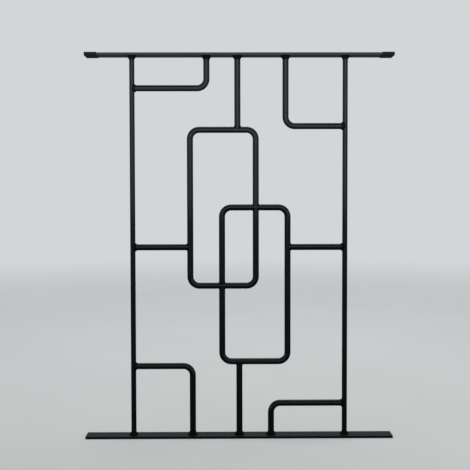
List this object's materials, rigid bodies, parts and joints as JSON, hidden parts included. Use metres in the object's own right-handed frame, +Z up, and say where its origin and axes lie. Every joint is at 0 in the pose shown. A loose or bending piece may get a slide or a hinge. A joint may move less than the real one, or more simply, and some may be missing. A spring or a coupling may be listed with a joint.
{
  "type": "window security bar",
  "caption": "Fixed steel window grille: flat top and bottom bars joined by round uprights, interlocked tall rings, straight links and curved corner bars, welded in one plane",
  "frame": {"origin": "underside of the bottom flat bar, in the middle of its length and depth", "axes": "+X to the right seen from the front (the room side or street side that the bars are looked at from), +Y to the back, +Z up along the uprights"},
  "size_m": [0.6, 0.032, 0.75],
  "materials": {
    "flat_coat": "satin",
    "bar_coat": "satin",
    "weld_coat": "satin",
    "end_cap": "matte"
  },
  "bodies": {
    "root": {"bottom_flat": "flat_coat", "top_flat": "flat_coat", "top_left_end_cap": "end_cap", "top_right_end_cap": "end_cap", "left_upright": "bar_coat", "right_upright": "bar_coat", "upper_ring": "bar_coat", "lower_ring": "bar_coat", "top_centre_bar": "bar_coat", "bottom_centre_bar": "bar_coat", "left_link_bar": "bar_coat", "right_link_bar": "bar_coat", "top_left_bend": "bar_coat", "top_right_bend": "bar_coat", "bottom_left_bend": "bar_coat", "bottom_right_bend": "bar_coat", "weld_left_upright_top": "weld_coat", "weld_left_upright_foot": "weld_coat", "weld_right_upright_top": "weld_coat", "weld_right_upright_foot": "weld_coat", "weld_top_centre_bar_flat": "weld_coat", "weld_bottom_centre_bar_flat": "weld_coat", "weld_top_left_bend_flat": "weld_coat", "weld_top_right_bend_flat": "weld_coat", "weld_bottom_left_bend_flat": "weld_coat", "weld_bottom_right_bend_flat": "weld_coat", "weld_top_left_bend_upright": "weld_coat", "weld_top_right_bend_upright": "weld_coat", "weld_bottom_left_bend_upright": "weld_coat", "weld_bottom_right_bend_upright": "weld_coat", "weld_left_link_upright": "weld_coat", "weld_right_link_upright": "weld_coat", "weld_left_link_ring": "weld_coat", "weld_right_link_ring": "weld_coat", "weld_top_centre_bar_ring": "weld_coat", "weld_bottom_centre_bar_ring": "weld_coat", "weld_upper_ring_seam": "weld_coat", "weld_lower_ring_seam": "weld_coat"}
  },
  "joints": []
}
